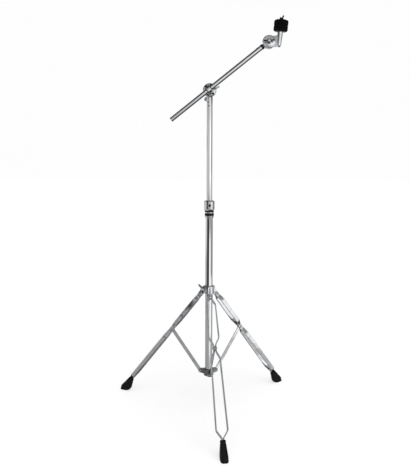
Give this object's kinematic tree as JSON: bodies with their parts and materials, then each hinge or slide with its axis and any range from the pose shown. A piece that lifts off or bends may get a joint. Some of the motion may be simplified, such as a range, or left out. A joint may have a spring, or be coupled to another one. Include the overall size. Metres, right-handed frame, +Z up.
{
  "type": "boom cymbal stand",
  "caption": "Chrome double-braced boom cymbal stand: folding tripod, telescopic mast with swivel, ratchet boom arm and a tilting cymbal holder between felts.",
  "frame": {"origin": "on the floor, on the base tube's axis, midway between the three feet", "axes": "+Z up along the tubes, -Y towards the viewer and nearly along the front leg, +X to the side the boom rises to"},
  "size_m": [0.6334, 0.5885, 1.3119],
  "materials": {
    "chrome": "bright chrome plate, faint polishing marks",
    "steel": "plated steel rivets, rod and washers",
    "rubber": "matte moulded black rubber",
    "felt": "pressed black wool felt",
    "nylon": "black nylon",
    "brass": "plain brass pad",
    "black_steel": "black oxide screw, rivets and seat washer"
  },
  "bodies": {
    "stand_base": {"base_tube": "chrome", "tube_end_cap": "nylon", "lower_collar": "chrome", "lower_collar_pin": "steel", "brace_pins": "steel", "clamp_casting": "chrome", "clamp_ring": "nylon", "clamp_bush": "nylon", "clamp_pad": "brass", "clamp_screw": "black_steel"},
    "front_brace": {"brace_front": "chrome"},
    "right_brace": {"brace_right": "chrome"},
    "left_brace": {"brace_left": "chrome"},
    "front_leg": {"leg_front_strip_a": "chrome", "leg_front_strip_b": "chrome", "leg_front_rivets": "steel", "leg_front_boot": "rubber"},
    "right_leg": {"leg_right_strip_a": "chrome", "leg_right_strip_b": "chrome", "leg_right_rivets": "steel", "leg_right_boot": "rubber"},
    "left_leg": {"leg_left_strip_a": "chrome", "leg_left_strip_b": "chrome", "leg_left_rivets": "steel", "leg_left_boot": "rubber"},
    "leg_collar": {"upper_collar": "chrome", "collar_liner": "nylon"},
    "collar_bolt": {"collar_wing_bolt": "chrome"},
    "clamp_bolt": {"clamp_wing_bolt": "chrome"},
    "glide": {"mast_glide": "nylon"},
    "mast": {"mast_tube": "chrome", "mast_rivets": "black_steel", "tilter_base": "chrome"},
    "tilter": {"tilter_saddle": "chrome", "tilter_pads": "nylon", "eye_bolt": "chrome", "tilter_washer": "steel"},
    "tilter_nut": {"tilter_wing_nut": "chrome"},
    "liner": {"boom_liner": "nylon"},
    "boom": {"boom_tube": "chrome", "boom_end_plug": "nylon", "boom_head": "chrome", "boom_tip_ring": "nylon", "boom_head_rivet": "steel"},
    "holder": {"cymbal_holder": "chrome", "cymbal_rod": "steel", "seat_washer": "black_steel", "lower_felt": "felt", "cymbal_sleeve": "nylon"},
    "holder_bolt": {"holder_wing_bolt": "chrome"},
    "felt_top": {"upper_felt": "felt"},
    "top_nut": {"top_wing_nut": "chrome"}
  },
  "joints": [
    {"name": "legs_fold", "type": "hinge", "parent": "stand_base", "child": "front_brace", "pos_m": [0.00401, -0.03175, 0.12525], "axis": [-0.9921, -0.1253, 0], "range_deg": [-12, 34]},
    {"name": "leg_front_fold", "type": "hinge", "parent": "front_brace", "child": "front_leg", "pos_m": [0.01793, -0.14192, 0.26436], "axis": [-0.9921, -0.1253, 0], "range_deg": [-68, 24]},
    {"name": "brace_right_fold", "type": "hinge", "parent": "stand_base", "child": "right_brace", "pos_m": [0.02549, 0.01935, 0.12525], "axis": [0.6046, -0.7965, 0], "range_deg": [-12, 34]},
    {"name": "leg_right_fold", "type": "hinge", "parent": "right_brace", "child": "right_leg", "pos_m": [0.11394, 0.08649, 0.26436], "axis": [0.6046, -0.7965, 0], "range_deg": [-68, 24]},
    {"name": "brace_left_fold", "type": "hinge", "parent": "stand_base", "child": "left_brace", "pos_m": [-0.0295, 0.0124, 0.12525], "axis": [0.3875, 0.9219, 0], "range_deg": [-12, 34]},
    {"name": "leg_left_fold", "type": "hinge", "parent": "left_brace", "child": "left_leg", "pos_m": [-0.13187, 0.05543, 0.26436], "axis": [0.3875, 0.9219, 0], "range_deg": [-68, 24]},
    {"name": "collar_ride", "type": "hinge", "parent": "front_leg", "child": "leg_collar", "pos_m": [0.00401, -0.03175, 0.40347], "axis": [-0.9921, -0.1253, 0], "range_deg": [-12, 34]},
    {"name": "collar_bolt_spin", "type": "hinge", "parent": "leg_collar", "child": "collar_bolt", "pos_m": [0, 0, 0.42847], "axis": [-0.7965, -0.6046, 0], "continuous": true},
    {"name": "clamp_bolt_spin", "type": "hinge", "parent": "stand_base", "child": "clamp_bolt", "pos_m": [0, 0, 0.714], "axis": [0, 1, 0], "continuous": true},
    {"name": "height_slide", "type": "slide", "parent": "stand_base", "child": "glide", "axis": [0, 0, 1], "range_m": [-0.25, 0.1]},
    {"name": "mast_swivel", "type": "hinge", "parent": "glide", "child": "mast", "pos_m": [0, 0, 1.067], "axis": [0, 0, 1], "continuous": true},
    {"name": "boom_tilt", "type": "hinge", "parent": "mast", "child": "tilter", "pos_m": [0, 0, 1.091], "axis": [-0.1045, -0.9945, 0], "range_deg": [-65, 20]},
    {"name": "tilter_nut_spin", "type": "hinge", "parent": "tilter", "child": "tilter_nut", "pos_m": [0, 0, 1.091], "axis": [0.1045, 0.9945, 0], "continuous": true},
    {"name": "boom_roll", "type": "hinge", "parent": "tilter", "child": "liner", "pos_m": [-0.00225, -0.02138, 1.091], "axis": [0.7901, -0.083, 0.6074], "continuous": true},
    {"name": "boom_slide", "type": "slide", "parent": "liner", "child": "boom", "axis": [0.7901, -0.083, 0.6074], "range_m": [-0.12, 0.12]},
    {"name": "cymbal_tilt", "type": "hinge", "parent": "boom", "child": "holder", "pos_m": [0.18615, -0.04118, 1.23426], "axis": [-0.1045, -0.9945, 0], "range_deg": [-60, 90]},
    {"name": "holder_bolt_spin", "type": "hinge", "parent": "holder", "child": "holder_bolt", "pos_m": [0.18615, -0.04118, 1.23426], "axis": [-0.1045, -0.9945, 0], "continuous": true},
    {"name": "felt_lift", "type": "slide", "parent": "holder", "child": "felt_top", "axis": [0.0901, -0.0095, 0.9959], "range_m": [0, 0.01]},
    {"name": "top_nut_spin", "type": "hinge", "parent": "felt_top", "child": "top_nut", "pos_m": [0.2238, -0.04514, 1.2976], "axis": [0.0901, -0.0095, 0.9959], "range_deg": [0, 2881]}
  ],
  "couplings": [
    {"joint": "leg_front_fold", "follows": "legs_fold", "ratio": -2},
    {"joint": "brace_right_fold", "follows": "legs_fold", "ratio": 1},
    {"joint": "leg_right_fold", "follows": "legs_fold", "ratio": -2},
    {"joint": "brace_left_fold", "follows": "legs_fold", "ratio": 1},
    {"joint": "leg_left_fold", "follows": "legs_fold", "ratio": -2},
    {"joint": "collar_ride", "follows": "legs_fold", "ratio": 1},
    {"joint": "top_nut_spin", "follows": "felt_lift", "rad_per_m": 5026.5}
  ]
}
